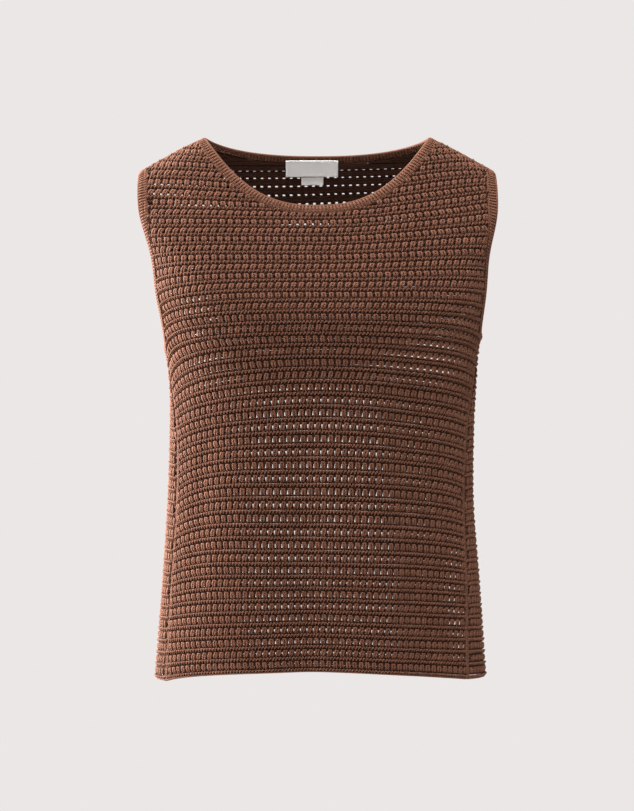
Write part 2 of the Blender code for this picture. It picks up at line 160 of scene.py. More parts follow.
def read(table, name, at):
    """Read a named column of a table at values of its first column, along a smooth curve."""
    place = np.array([row[0] for row in table[1:]])
    value = np.array([row[table[0].index(name)] for row in table[1:]])
    last = len(place) - 1
    before = np.maximum(np.arange(last + 1) - 1, 0)
    after = np.minimum(np.arange(last + 1) + 1, last)
    slope = (value[after] - value[before]) / (place[after] - place[before])
    at = np.clip(at, place[0], place[-1])
    low = np.clip(np.searchsorted(place, at, side="right") - 1, 0, last - 1)
    span = place[low + 1] - place[low]
    s = (at - place[low]) / span
    return (value[low] * (1 + 2 * s) * (1 - s) ** 2 + value[low + 1] * s * s * (3 - 2 * s)
            + span * (slope[low] * s * (1 - s) ** 2 - slope[low + 1] * s * s * (1 - s)))


def ease(value):
    """From 0 to 1 with a soft start and a soft end."""
    value = np.clip(value, 0.0, 1.0)
    return value * value * (3 - 2 * value)


def fold_offset(angle, height):
    """How far the folds move the cloth outwards."""
    offset = np.zeros_like(height)
    for top_angle, foot_angle, top, full, fade, foot, spread, depth in FOLDS:
        centre = top_angle + (foot_angle - top_angle) * ease((top - height) / (top - fade))
        away = (angle - centre + 180) % 360 - 180
        strength = ease((top - height) / (top - full)) * ease((height - foot) / (fade - foot))
        offset += depth * strength * np.exp(-0.5 * (away / spread) ** 2)
    return offset


def shoulder_line(x):
    """Height of the shoulder line, where the front and the back meet."""
    fall = SHOULDER_EASE * np.log1p(np.exp((np.abs(x) - SHOULDER_START) / SHOULDER_EASE))
    return SHOULDER_TOP - SHOULDER_SLOPE * fall


def top_edge(panel, x):
    """Height of a panel's neck edge and, beyond it, of its shoulder seam."""
    drop, power = NECKS[panel]
    share = np.minimum(np.abs(x) / NECK_HALF_WIDTH, 1.0)
    neck = shoulder_line(NECK_HALF_WIDTH) - drop * (1 - share ** power)
    return np.where(np.abs(x) < NECK_HALF_WIDTH, neck, shoulder_line(x))


def by_side(name, is_left, table, at):
    """Read the left or the right column of a name."""
    return np.where(is_left, read(table, "left" + name, at), read(table, "right" + name, at))


def cloth(panel, across, course):
    """Points on the middle of the cloth, in millimetres. across runs from -1 at a panel's left
    edge to 1 at its right edge, and course counts the knitted courses up from the hem."""
    across, course = np.broadcast_arrays(np.asarray(across, float), np.asarray(course, float))
    is_left = across < 0
    seam = by_side("_end", is_left, COURSES, np.minimum(course, UNDERARM_COURSE))
    scoop = np.clip((course - UNDERARM_COURSE) / SCOOP_COURSES, 0.0, 1.0)
    edge = seam + (ARMHOLE_ANGLES[panel] - seam) * np.sqrt(1 - (1 - scoop) ** 2)
    end = by_side("_end", is_left, COURSES, course)
    bow = by_side("_bow", is_left, COURSES, course)
    droop = by_side("_droop", is_left, COURSES, course)
    height = read(COURSES, "middle", course)
    if panel == "front":
        angle = edge * across
        height = height + bow * (angle / end) ** 2 + droop * (angle / end) ** 6
    else:
        turn = 180 - (180 - edge) * np.abs(across)
        angle = np.where(is_left, -turn, turn)
        along = (180 - turn) / (180 - end) * np.sign(across)
        left, right = (read(COURSES, side + "_bow", course) + read(COURSES, side + "_droop", course)
                       for side in ("left", "right"))
        rise = read(COURSES, "back_rise", course) * (1 - along ** 2)
        height = height + left + (right - left) * (along + 1) / 2 + rise
    sine, cosine = np.sin(np.radians(angle)), np.cos(np.radians(angle))
    half = by_side("", sine < 0, SECTIONS, height)
    depth = np.where(cosine > 0, read(SECTIONS, "front", height),
                     read(SECTIONS, "back", height))
    reach = ((np.abs(sine) / half) ** SQUARENESS
             + (np.abs(cosine) / depth) ** SQUARENESS) ** (-1 / SQUARENESS)
    reach = reach + fold_offset(angle, height)
    x, flat = reach * sine, np.maximum(reach * np.abs(cosine), 1e-6)
    below = np.maximum(shoulder_line(x) - height, 0.0)
    is_front = cosine > 0
    roll_depth, roll_height, slope = (np.where(is_front, f, b)
                                      for f, b in zip(ROLLS["front"], ROLLS["back"]))
    round_off = np.minimum(below / roll_height, 1.0)
    lean = slope * below + roll_depth * np.sqrt(1 - (1 - round_off) ** 2)
    flat = (np.maximum(lean, 1e-6) ** -ROLL_BLEND + flat ** -ROLL_BLEND) ** (-1 / ROLL_BLEND)
    return np.stack((x, np.where(is_front, -flat, flat), height), axis=-1)


def unit(vectors):
    """The same directions, made one long."""
    return vectors / np.linalg.norm(vectors, axis=-1, keepdims=True)


def cloth_axes(panel, across, course):
    """Directions along a course, up the cloth and out of it. A course runs towards +X on the
    front and towards -X on the back."""
    along = (cloth(panel, np.minimum(across + ACROSS_STEP, 1.0), course)
             - cloth(panel, np.maximum(across - ACROSS_STEP, -1.0), course))
    if panel == "back":
        along = -along
    up = (cloth(panel, across, np.maximum(course, COURSE_STEP))
          - cloth(panel, across, np.maximum(course - COURSE_STEP, 0.0)))
    outward = unit(np.cross(along, up))
    return unit(along), unit(np.cross(outward, along)), outward


def fill(tree, inputs, values):
    """Set a node's inputs, by name or in order, to values or to the sockets they come from."""
    for key, value in (values.items() if isinstance(values, dict) else enumerate(values)):
        if isinstance(value, bpy.types.NodeSocket):
            tree.links.new(value, inputs[key])
        else:
            inputs[key].default_value = value


def add_node(tree, kind, values=(), **settings):
    """Add a node with these settings and inputs, and give its outputs."""
    made = tree.nodes.new(kind)
    for name, value in settings.items():
        setattr(made, name, value)
    fill(tree, made.inputs, values)
    return made.outputs


def step(tree, operation, first, second=0.0, clamp=False):
    """One step of arithmetic in a node tree."""
    return add_node(tree, "ShaderNodeMath", (first, second), operation=operation,
                    use_clamp=clamp)[0]


def mix(tree, factor, first, second):
    """Two colours mixed by a factor."""
    return add_node(tree, "ShaderNodeMix", {"Factor": factor, "A": first, "B": second},
                    data_type="RGBA")["Result"]


def bump(tree, strength, distance, height):
    """A normal from a height, whose relief is in millimetres."""
    return add_node(tree, "ShaderNodeBump", {"Strength": strength, "Distance": distance * MM,
                                             "Height": height})[0]


def new_tree(name, kind, given, results):
    """A node tree with these named sockets: itself, what it is given and what it puts out."""
    tree = bpy.data.node_groups.new(name, kind)
    for way, sockets in (("INPUT", given), ("OUTPUT", results)):
        for label, socket in sockets.items():
            tree.interface.new_socket(label, in_out=way, socket_type="NodeSocket" + socket)
    return tree, add_node(tree, "NodeGroupInput"), tree.nodes.new("NodeGroupOutput").inputs


def new_material(name, constants):
    """A material whose shader has these constants: itself, its tree and the shader's inputs."""
    made = bpy.data.materials.new(name)
    made.use_nodes = True
    shader = made.node_tree.nodes["Principled BSDF"].inputs
    fill(made.node_tree, shader, constants)
    return made, made.node_tree, shader


# The yarn is a matt cotton of two plies, loosely twisted and a little hairy. Every stitch takes the
# light a little differently, and the brown is uneven along the yarn. Shade is painted into the
# colour between the plies.
YARN_BROWN = (0.098, 0.0405, 0.0235, 1.0)
# Painted shade: the dark brown that the colour turns to between the plies, where shade falls.
YARN_PAINTED_SHADE = (0.042, 0.0155, 0.009, 1.0)    # between the plies
YARN_PALE = (0.145, 0.0620, 0.0375, 1.0)
# Painted shade: the yarns behind the stitches are coloured this dark for the little light that
# reaches them.
YARN_BEHIND_SHADE = (0.034, 0.0130, 0.0075, 1.0)  # of the yarns behind the stitches
YARN_PLIES, YARN_TWIST = 2.0, 5.0          # the twist is in turns to a centimetre
YARN_SHADER = {"Sheen Weight": 0.05, "Sheen Roughness": 0.45,
               "Sheen Tint": (1.0, 0.62, 0.45, 1.0), "Specular IOR Level": 0.12}
HAIR_SCALE, HAIR_DETAIL = 1400.0, 3.0
PATCH_SCALE, PATCH_DETAIL = 26.0, 2.0      # of soft uneven patches in the brown
STITCH_TONE, PATCH_TONE = 0.55, 0.45       # how much each makes the yarn paler
# Painted shade: how far the colour darkens between the plies.
PLY_SHADE_TONE = 0.7                          # how dark the yarn gets between its plies
ROUGHNESS, HAIR_ROUGHNESS = 0.78, 0.2
HAIR_RELIEF = 0.8                          # as a share of the plies' relief
BUMP_STRENGTH = 0.6
KNIT_RELIEF, RIB_RELIEF = 0.4, 0.3


def cotton_group():
    """Colour and relief of twisted cotton, from the piece's own yarn map and its tone, with shade
    painted into the colour between the plies.
    """
    tree, given, result = new_tree(
        "cotton_yarn", "ShaderNodeTree",
        {"Brown": "Color", "Painted Shade": "Color", "Pale": "Color", "Twist": "Float", "Plies": "Float"},
        {"Color": "Color", "Roughness": "Float", "Height": "Float"})
    yarn_map = add_node(tree, "ShaderNodeUVMap", uv_map="yarn")[0]
    travel, turn, _ = add_node(tree, "ShaderNodeSeparateXYZ", (yarn_map,))
    # Plies run round the yarn as they go along it
    turned = step(tree, "ADD", step(tree, "MULTIPLY", travel, given["Twist"]),
                  step(tree, "MULTIPLY", turn, given["Plies"]))
    wave = step(tree, "SINE", step(tree, "MULTIPLY", turned, math.pi))
    ply = step(tree, "ABSOLUTE", wave)

    where = add_node(tree, "ShaderNodeTexCoord")["Object"]
    hair, patch = (add_node(tree, "ShaderNodeTexNoise",
                            {"Vector": where, "Scale": scale, "Detail": detail})[0]
                   for scale, detail in ((HAIR_SCALE, HAIR_DETAIL), (PATCH_SCALE, PATCH_DETAIL)))
    tone = add_node(tree, "ShaderNodeAttribute", attribute_name="tone")["Fac"]
    paleness = step(tree, "ADD", step(tree, "MULTIPLY", tone, STITCH_TONE),
                    step(tree, "MULTIPLY", patch, PATCH_TONE), True)

    base = mix(tree, paleness, given["Brown"], given["Pale"])
    # Shade between the plies is painted into the colour, darkest where the plies dip.
    ply_shade = step(tree, "POWER", step(tree, "SUBTRACT", 1.0, ply, True), 2.0)
    colour = mix(tree, step(tree, "MULTIPLY", ply_shade, PLY_SHADE_TONE), base, given["Painted Shade"])
    rough = step(tree, "ADD", ROUGHNESS, step(tree, "MULTIPLY", hair, HAIR_ROUGHNESS), True)
    height = step(tree, "ADD", ply, step(tree, "MULTIPLY", hair, HAIR_RELIEF))
    fill(tree, result, {"Color": colour, "Roughness": rough, "Height": height})
    return tree


COTTON = cotton_group()


def cotton(name, brown, pale, relief):
    """A finish of cotton yarn, with the relief of its plies in millimetres."""
    made, tree, shader = new_material(name, YARN_SHADER)
    yarn = add_node(tree, "ShaderNodeGroup",
                    {"Brown": brown, "Painted Shade": YARN_PAINTED_SHADE, "Pale": pale, "Twist": YARN_TWIST,
                     "Plies": YARN_PLIES}, node_tree=COTTON)
    fill(tree, shader, {"Base Color": yarn["Color"], "Roughness": yarn["Roughness"],
                        "Normal": bump(tree, BUMP_STRENGTH, relief, yarn["Height"])})
    return made


# A ridge is a row of purl loops, two to a cell, each stepping over the next. The open row
# above it has one plump double stitch to a cell, which leans one way in one course and the
# other way in the next. Yarns run along behind them, and the gaps between go right through.
CELL_WIDTH = 7.5          # of a typical cell, along its course
CELL_HEIGHT = 12.4        # of a typical cell, from one ridge to the next

# One loop of a ridge: along, up and out from the ridge's crest, and the yarn's thickness
LOOP = (
    (-2.00, -3.20, -1.30, 0.0),
    (-1.35, -1.40, 0.70, 1.60),
    (-0.20, 0.75, 1.75, 1.90),
    (1.05, 0.60, 1.10, 1.70),
    (1.90, -1.60, -1.40, 0.0),
)
# The double stitch, from its open foot over the top and back, seen from the row's middle
POST = (
    (-1.10, -4.30, -1.30, 0.0),
    (-1.25, -2.80, 0.00, 2.55),
    (-1.42, 0.20, 0.75, 2.85),
    (-1.35, 2.70, 0.45, 2.75),
    (1.35, 2.70, 0.45, 2.75),
    (1.42, 0.20, 0.75, 2.85),
    (1.25, -2.80, 0.00, 2.55),
    (1.10, -4.30, -1.30, 0.0),
)
POST_LEANS = (-0.7, 2.0)  # how far the top of a post leans along its course, by turns
STITCH_SIDES = 5          # of the yarn in a stitch, which is repeated thousands of times


def travelled(line):
    """How far each point of a line is from its start, along it."""
    return np.concatenate(([0.0], np.cumsum(np.linalg.norm(np.diff(line, axis=0), axis=1))))


def mesh_object(name, mesh):
    """Turn an editable mesh into an object."""
    data = bpy.data.meshes.new(name)
    mesh.to_mesh(data)
    mesh.free()
    return bpy.data.objects.new(name, data)


def yarn_mesh(name, strands, sides, square_to=(0.0, 0.0, 1.0)):
    """A mesh of closed strands, each a tube through (along, up, out, thickness) rows that
    ends in a point, with a map that runs along the yarn, in centimetres, and round it."""
    mesh = bmesh.new()
    layer = mesh.loops.layers.uv.new("yarn")
    for rows in strands:
        path, thick = np.array(rows)[:, :3], np.array(rows)[:, 3]
        travel = travelled(path)
        ahead = unit(np.gradient(path, axis=0))
        side = unit(np.cross(ahead, square_to))
        high = np.cross(side, ahead)
        turns = 2 * math.pi * np.arange(sides) / sides
        rings = []
        for i in range(len(path)):
            if thick[i] == 0:
                rings.append([mesh.verts.new(path[i] * MM)] * sides)
                continue
            spokes = [side[i] * math.cos(turn) + high[i] * math.sin(turn) for turn in turns]
            rings.append([mesh.verts.new((path[i] + spoke * thick[i] / 2) * MM)
                          for spoke in spokes])
        for i in range(len(rings) - 1):
            for j in range(sides):
                k = (j + 1) % sides
                corners = [(rings[i][j], i, j), (rings[i + 1][j], i + 1, j),
                           (rings[i + 1][k], i + 1, j + 1), (rings[i][k], i, j + 1)]
                if thick[i] == 0:
                    corners.pop(3)
                if thick[i + 1] == 0:
                    corners.pop(2)
                made = mesh.faces.new([corner[0] for corner in corners])
                made.smooth = True
                for loop, (_, ring, turn) in zip(made.loops, corners):
                    loop[layer].uv = (travel[ring] / 10, turn / sides)
    bmesh.ops.recalc_face_normals(mesh, faces=mesh.faces)
    return mesh_object(name, mesh)


def shapes(name, objects):
    """A collection that the stitches are picked from, in the order given."""
    made = bpy.data.collections.new(name)
    for i, item in enumerate(objects):
        item.name = f"{i}_{name}"
        made.objects.link(item)
    return made


def leaning(rows, lean):
    """The same strand with its upper part pushed along the course."""
    foot, head = rows[0][1], rows[3][1]
    return [(along + lean * ((up - foot) / (head - foot) - 0.5), up, out, thick)
            for along, up, out, thick in rows]


loop_shapes = shapes("ridge_loop", [yarn_mesh("loop", [LOOP], STITCH_SIDES)])
post_shapes = shapes("open_stitch", [yarn_mesh("post", [leaning(POST, lean)], STITCH_SIDES)
                                     for lean in POST_LEANS])


def attribute(tree, name, kind="FLOAT"):
    """Read a value that the points or the faces carry."""
    return add_node(tree, "GeometryNodeInputNamedAttribute", {"Name": name},
                    data_type=kind)["Attribute"]


def finished(tree, geometry, given, result):
    """End a tree: make its instances real and give them their finish."""
    real = add_node(tree, "GeometryNodeRealizeInstances", (geometry,))[0]
    made = add_node(tree, "GeometryNodeSetMaterial",
                    {"Geometry": real, "Material": given["Finish"]})[0]
    fill(tree, result, (made,))
    return tree


def stitching():
    """Put stitches on points: each turned to the cloth, sized to its cell, a little uneven,
    and given a tone of its own."""
    tree, given, result = new_tree(
        "stitching", "GeometryNodeTree",
        {"Places": "Geometry", "Shapes": "Collection", "Finish": "Material", "Tilt": "Float",
         "Swell": "Float", "Seed": "Int"}, {"Knit": "Geometry"})

    def random(kind, seed_step, limits):
        """A random value for each stitch."""
        seed = step(tree, "ADD", given["Seed"], seed_step)
        return add_node(tree, "FunctionNodeRandomValue", {"Seed": seed, **limits},
                        data_type=kind)

    points = add_node(tree, "GeometryNodeMeshToPoints", {"Mesh": given["Places"]})[0]
    pick = add_node(tree, "GeometryNodeCollectionInfo",
                    {"Separate Children": True, "Reset Children": True,
                     "Collection": given["Shapes"]})[0]
    turn = add_node(tree, "FunctionNodeAxesToRotation",
                    {"Primary Axis": attribute(tree, "outward", "FLOAT_VECTOR"),
                     "Secondary Axis": attribute(tree, "along", "FLOAT_VECTOR")},
                    primary_axis="Z", secondary_axis="X")[0]
    tilt, swell = given["Tilt"], given["Swell"]
    wobble = random("FLOAT_VECTOR", 1.0, {"Min": step(tree, "MULTIPLY", tilt, -1.0), "Max": tilt})
    wobble = add_node(tree, "FunctionNodeEulerToRotation", (wobble["Value"],))[0]
    tilted = add_node(tree, "FunctionNodeRotateRotation", (turn, wobble),
                      rotation_space="LOCAL")[0]
    swelling = random("FLOAT_VECTOR", 2.0, {"Min": step(tree, "SUBTRACT", 1.0, swell),
                                            "Max": step(tree, "ADD", 1.0, swell)})
    size = add_node(tree, "ShaderNodeVectorMath",
                    (attribute(tree, "size", "FLOAT_VECTOR"), swelling["Value"]),
                    operation="MULTIPLY")[0]
    put = add_node(tree, "GeometryNodeInstanceOnPoints",
                   {"Points": points, "Instance": pick, "Pick Instance": True,
                    "Instance Index": attribute(tree, "shape", "INT"), "Rotation": tilted,
                    "Scale": size})[0]
    tone = next(socket for socket in random("FLOAT", 3.0, {}) if socket.enabled)
    toned = add_node(tree, "GeometryNodeStoreNamedAttribute",
                     {"Name": "tone", "Geometry": put, "Value": tone},
                     data_type="FLOAT", domain="INSTANCE")[0]
    return finished(tree, toned, given, result)


def running_yarn():
    """Turn lines into round yarns with a thickness of their own, and closed ends."""
    tree, given, result = new_tree(
        "running_yarn", "GeometryNodeTree",
        {"Lines": "Geometry", "Finish": "Material", "Sides": "Int"}, {"Yarns": "Geometry"})

    def keep(curve, name, measure):
        """Store the length or the share of a curve, to map the yarn with."""
        value = add_node(tree, "GeometryNodeSplineParameter")[measure]
        return add_node(tree, "GeometryNodeStoreNamedAttribute",
                        {"Name": name, "Geometry": curve, "Value": value},
                        data_type="FLOAT", domain="POINT")[0]

    curve = add_node(tree, "GeometryNodeMeshToCurve", {"Mesh": given["Lines"]})[0]
    circle = add_node(tree, "GeometryNodeCurvePrimitiveCircle",
                      {"Resolution": given["Sides"], "Radius": 1.0})[0]
    sweep = add_node(tree, "GeometryNodeCurveToMesh",
                     {"Curve": keep(curve, "travel", "Length"),
                      "Profile Curve": keep(circle, "turn", "Factor"),
                      "Scale": attribute(tree, "radius_m"), "Fill Caps": True})[0]
    centimetres = step(tree, "MULTIPLY", attribute(tree, "travel"), 100.0)
    pair = add_node(tree, "ShaderNodeCombineXYZ", (centimetres, attribute(tree, "turn")))[0]
    mapped = add_node(tree, "GeometryNodeStoreNamedAttribute",
                      {"Name": "yarn", "Geometry": sweep, "Value": pair},
                      data_type="FLOAT2", domain="CORNER")[0]
    smooth = add_node(tree, "GeometryNodeSetShadeSmooth", (mapped,))[0]
    return finished(tree, smooth, given, result)


STITCHING = stitching()
RUNNING_YARN = running_yarn()


def evaluated_piece(name, holder, tree, values):
    """Run a tree on a holder with these inputs, and keep the result as a plain mesh."""
    bpy.context.scene.collection.objects.link(holder)
    modifier = holder.modifiers.new(tree.name, "NODES")
    modifier.node_group = tree
    for item in tree.interface.items_tree:
        if item.in_out == "INPUT" and item.name in values:
            modifier[item.identifier] = values[item.name]
    evaluated = holder.evaluated_get(bpy.context.evaluated_depsgraph_get())
    made = bpy.data.objects.new(name, bpy.data.meshes.new_from_object(evaluated))
    made.data.name = name
    bpy.context.scene.collection.objects.link(made)
    bpy.data.objects.remove(holder)
    return made


def stitch(name, places, picked, finish, uneven, seed):
    """Make one piece from stitches at places: (points, along, outward, size, shape) arrays in
    millimetres. uneven is how far they tilt, in radians, and how far their sizes vary."""
    points, along, outward, size, shape = (np.concatenate(column) for column in zip(*places))
    data = bpy.data.meshes.new(name + "_places")
    data.from_pydata((points * MM).tolist(), [], [])
    for label, values in (("along", along), ("outward", outward), ("size", size)):
        stored = data.attributes.new(label, "FLOAT_VECTOR", "POINT").data
        stored.foreach_set("vector", values.ravel())
    data.attributes.new("shape", "INT", "POINT").data.foreach_set("value", shape.astype(int))
    holder = bpy.data.objects.new(name + "_places", data)
    return evaluated_piece(name, holder, STITCHING,
                           {"Shapes": picked, "Finish": finish, "Tilt": uneven[0],
                            "Swell": uneven[1], "Seed": seed})


def run_yarn(name, lines, finish, sides):
    """Make one piece from (points, thickness, closed) lines in millimetres."""
    points, edges, radii = [], [], []
    for line, thickness, closed in lines:
        first = len(points)
        points += (line * MM).tolist()
        edges += [(first + i, first + i + 1) for i in range(len(line) - 1)]
        if closed:
            edges.append((first + len(line) - 1, first))
        radii += [thickness / 2 * MM] * len(line)
    data = bpy.data.meshes.new(name + "_lines")
    data.from_pydata(points, edges, [])
    data.attributes.new("radius_m", "FLOAT", "POINT").data.foreach_set("value", radii)
    holder = bpy.data.objects.new(name + "_lines", data)
    return evaluated_piece(name, holder, RUNNING_YARN, {"Finish": finish, "Sides": sides})


RIDGE_PLACE = 0.25        # where a course has the crest of its ridge
OPEN_PLACE = 0.70         # where a course has the middle of its open row
# Yarns that run along a course behind its stitches and close the cloth behind its ridges:
# place, out and thickness. The back has slightly smaller gaps.
COURSE_YARNS = {
    "front": ((0.06, -1.50, 2.5), (0.21, -1.30, 2.4), (0.41, -1.30, 2.6), (0.88, -1.10, 2.7)),
    "back": ((0.06, -1.50, 2.5), (0.21, -1.30, 2.4), (0.42, -1.30, 2.6), (0.88, -1.10, 2.7)),
}
NECK_CLOSER = 1.25        # how much thicker these yarns of the back are near the neck
EDGE_YARN = 2.8           # thickness of the yarn that binds a panel's edges
EDGE_INSET = 1.1          # from a panel's edge to the middle of that yarn
EDGE_STEP = 0.45          # courses from one point of a side's yarn to the next
SEAM_DEPTH = -0.9         # how far in the yarns of the side seams lie
SEAM_ROOM = 0.3           # between a side seam and the nearest stitch
HEM_YARN = 1.8            # thickness of the yarn along the hem
HEM_PLACE, HEM_OUT = 0.06, -0.3            # the course it lies at, and how far out
# How far below the neck edge and the shoulder seams posts, loops and yarns stay
SHOULDER_SINK = 0.05      # the least fall from a shoulder seam, where the cloth is level
POST_ROOM, LOOP_ROOM, YARN_ROOM = (1.8, 0.5), (1.0, 0.4), (0.6, SHOULDER_SINK)
TOP_YARN_ROOM = (1.0, SHOULDER_SINK)
CELLS = (("course", "width"), (0.0, 6.7), (6.0, 6.8), (14.0, 7.1), (20.0, 7.3), (27.0, 7.6),
         (33.0, 8.2), (40.0, 8.2), (50.0, 7.4))
SHOULDER_PITCH = 11.5     # no course on top of a shoulder is taller than this
STRAP = 0.8               # how far across a panel the middle of a shoulder lies
ROLLING_COURSE = 36       # from here up the courses close in over the shoulders
LEAST_CELL, MOST_CELL = 6.0, 17.0          # heights that a stitch is sized to
ROW_SAMPLES, PANEL_SAMPLES = 500, 2001      # along a course, and up a panel
SHORTEST_RUN = 4          # samples that a yarn between edges is at least long
WANDER, POST_WANDER = 0.16, 0.08           # how far a row wanders to either side, in cells
HALF_PANEL = 230.0        # about half a panel's width, round the body
# Each open row of the back hangs behind one of the front, as the camera sees them, so that
# daylight comes through both. From the bust up it hangs half a course lower, and the ridges of
# the back close the view through the front's gaps.
BEHIND_WIDTH = 128.0      # as far to either side as this
BEHIND_ASIDE = 1.8        # and this far aside, so that the two leave small gaps
BEND_SIDES = 0.6          # share of a half panel from which its rows bend to the side seam
BEHIND_TOP = 37           # no course behind the neck follows the front
BEHIND_END = 41.0         # from here up the courses of the back are evenly spaced again
BEHIND_GUESS = 32.0       # no row is looked for from higher up than this
HEM_FADE = 2.5            # courses over which the back takes this up from the hem
LOWER_BY = 0.5            # courses that it hangs lower than the front
LOWER_FROM, LOWER_OVER = 21.0, 5.0         # the course this starts at, and over how many
SEEING_STEPS = 12         # to find what the camera sees behind a point
SEEING_ACROSS, SEEING_UP = 0.01, 0.1       # to measure slopes over
LOW_COURSE, HALVINGS = 30.0, 30            # below every neck edge, and how closely it is found
TOP_SAMPLES, HEM_SAMPLES = 150, 90         # points along a panel's top yarn and hem yarn


def course_starts(panel):
    """Where each course of a panel starts, closer together where the shoulder rolls over."""
    fine = np.linspace(0.0, TOP_COURSE, PANEL_SAMPLES)
    line = (cloth(panel, STRAP, fine) + cloth(panel, -STRAP, fine) * (-1, 1, 1)) / 2
    length = travelled(line)
    starts = [0.0]
    while starts[-1] < TOP_COURSE - 1:
        here = starts[-1]
        limit = np.interp(np.interp(here, fine, length) + SHOULDER_PITCH, length, fine)
        starts.append(here + 1 if here < ROLLING_COURSE else min(here + 1, limit))
    return starts


def inside(panel, points, neck_room, shoulder_room):
    """Which points lie below a panel's neck edge and shoulder seams, by so much."""
    x = points[:, 0]
    over_neck = np.abs(x) < NECK_HALF_WIDTH
    slope = top_edge(panel, x + 0.5) - top_edge(panel, x - 0.5)
    room = np.where(over_neck, neck_room * np.sqrt(1 + slope ** 2), shoulder_room)
    return points[:, 2] < top_edge(panel, x) - room


def across_a_row(panel, course, bend, pitch, shift, room):
    """Even places along a course, counted from the middle of the panel."""
    fine = np.linspace(-1.0, 1.0, ROW_SAMPLES)
    points = cloth(panel, fine, course + bend(fine))
    length = travelled(points)
    length -= np.interp(0.0, fine, length)
    side = SEAM_ROOM + pitch / 2
    first = math.ceil((length[0] + side) / pitch - shift)
    last = math.floor((length[-1] - side) / pitch - shift)
    across = np.interp((np.arange(first, last + 1) + shift) * pitch, length, fine)
    points = cloth(panel, across, course + bend(across))
    return across[inside(panel, points, *room)]


def lines_along(panel, course, bend, pitch):
    """Runs of places along a course for a yarn, broken where the neck is."""
    fine = np.linspace(-1.0 + EDGE_INSET / HALF_PANEL, 1.0 - EDGE_INSET / HALF_PANEL, ROW_SAMPLES)
    points = cloth(panel, fine, course + bend(fine))
    covered = np.concatenate(([False], inside(panel, points, *YARN_ROOM), [False]))
    changes = np.flatnonzero(covered[1:] != covered[:-1])
    for first, after in zip(changes[::2], changes[1::2]):
        if after - first < SHORTEST_RUN:
            continue
        length = travelled(points[first:after])
        count = max(int(round(length[-1] / pitch)), 2)
        yield np.interp(np.linspace(0, length[-1], count + 1), length, fine[first:after])


def placed(panel, across, course, tall, width, shape):
    """Places of stitches on the cloth, turned to it and sized to their cells."""
    course = np.broadcast_to(course, across.shape)
    along, up, outward = cloth_axes(panel, across, course)
    rise = cloth(panel, across, course + tall / 2) - cloth(panel, across, course - tall / 2)
    height = np.clip((rise * up).sum(axis=1), LEAST_CELL, MOST_CELL)
    size = np.stack((np.broadcast_to(width / CELL_WIDTH, across.shape), height / CELL_HEIGHT,
                     np.ones(len(across))), axis=1)
    return cloth(panel, across, course), along, outward, size, np.full(len(across), shape)


def top_course(panel, across, neck_room, shoulder_room):
    """The course at which a panel ends, at its neck edge or its shoulder seam."""
    low, high = np.full(len(across), LOW_COURSE), np.full(len(across), TOP_COURSE)
    for _ in range(HALVINGS):
        middle = (low + high) / 2
        below = inside(panel, cloth(panel, across, middle), neck_room, shoulder_room)
        low, high = np.where(below, middle, low), np.where(below, high, middle)
    return low


def on_cloth(panel, across, course, out):
    """Points a little out from the middle of the cloth."""
    return cloth(panel, across, course) + cloth_axes(panel, across, course)[2] * out


def edge_lines(panel):
    """The yarns that bind a panel's side and armhole edges, its top edge and its hem."""
    end = 1 - EDGE_INSET / HALF_PANEL
    lines = []
    for side in (-end, end):
        top = top_course(panel, np.array([side]), *YARN_ROOM)[0]
        courses = np.arange(0.0, top, EDGE_STEP)
        points = on_cloth(panel, np.full(len(courses), side), courses, SEAM_DEPTH)
        lines.append((points, EDGE_YARN, False))
    across = np.linspace(-end, end, TOP_SAMPLES)
    courses = top_course(panel, across, *TOP_YARN_ROOM)
    lines.append((on_cloth(panel, across, courses, 0.0), EDGE_YARN, False))
    across = np.linspace(-end, end, HEM_SAMPLES)
    courses = np.full(len(across), HEM_PLACE)
    lines.append((on_cloth(panel, across, courses, HEM_OUT), HEM_YARN, False))
    return lines


def seen_from(eye, points, course):
    """Where on the back, across and up, the eye sees these points of the front."""
    across, at = points[:, 0] / HALF_PANEL, np.full(len(points), float(course))
    for _ in range(SEEING_STEPS):
        here = cloth("back", across, at)
        share = (here[:, 1] - eye[1]) / (points[:, 1] - eye[1])
        target = eye + (points - eye) * share[:, None]
        beside = cloth("back", across + SEEING_ACROSS, at)
        above = cloth("back", across, at + SEEING_UP)
        widen = (beside[:, 0] - here[:, 0]) / SEEING_ACROSS
        climb = (above[:, 2] - here[:, 2]) / SEEING_UP
        across = across + (target[:, 0] - here[:, 0]) / widen
        at = at + (target[:, 2] - here[:, 2]) / climb
    return across, at


def rows_behind(front_rows, starts):
    """For each open row of the back: its own course, and the places across and up the back
    that lie behind the stitches of the same row of the front."""
    eye = np.array(CAMERA_PLACE) / MM
    rows = []
    for row, start, following in zip(front_rows[:BEHIND_TOP], starts, starts[1:]):
        own = start + OPEN_PLACE * (following - start)
        points = row[0][np.abs(row[0][:, 0]) < BEHIND_WIDTH] + (BEHIND_ASIDE, 0, 0)
        across, at = seen_from(eye, points, min(own, BEHIND_GUESS))
        lower = LOWER_BY * float(ease((own - LOWER_FROM) / LOWER_OVER))
        share = float(ease(own / HEM_FADE))
        rows.append((own, across, own + (at - lower - own) * share))
    return rows


def moved_course(rows, course):
    """Where a course of the back lies at its middle, once its rows hang behind the front's."""
    known = [0.0] + [own for own, _, _ in rows] + [BEHIND_END, TOP_COURSE]
    moved = [0.0] + [np.interp(0.0, across, at) for _, across, at in rows] + known[-2:]
    return float(np.interp(course, known, moved))


def bending(row, own, middle):
    """How a course of the back bends from its middle: along with its open row, and out to
    its own height at the side seams."""
    _, across, at = row or (own, np.zeros(1), np.zeros(1))
    shift = at - np.interp(0.0, across, at)

    def bend(where):
        past = ease((np.abs(where) - BEND_SIDES) / (1 - BEND_SIDES))
        return np.interp(where, across, shift) * (1 - past) + (own - middle) * past
    return bend


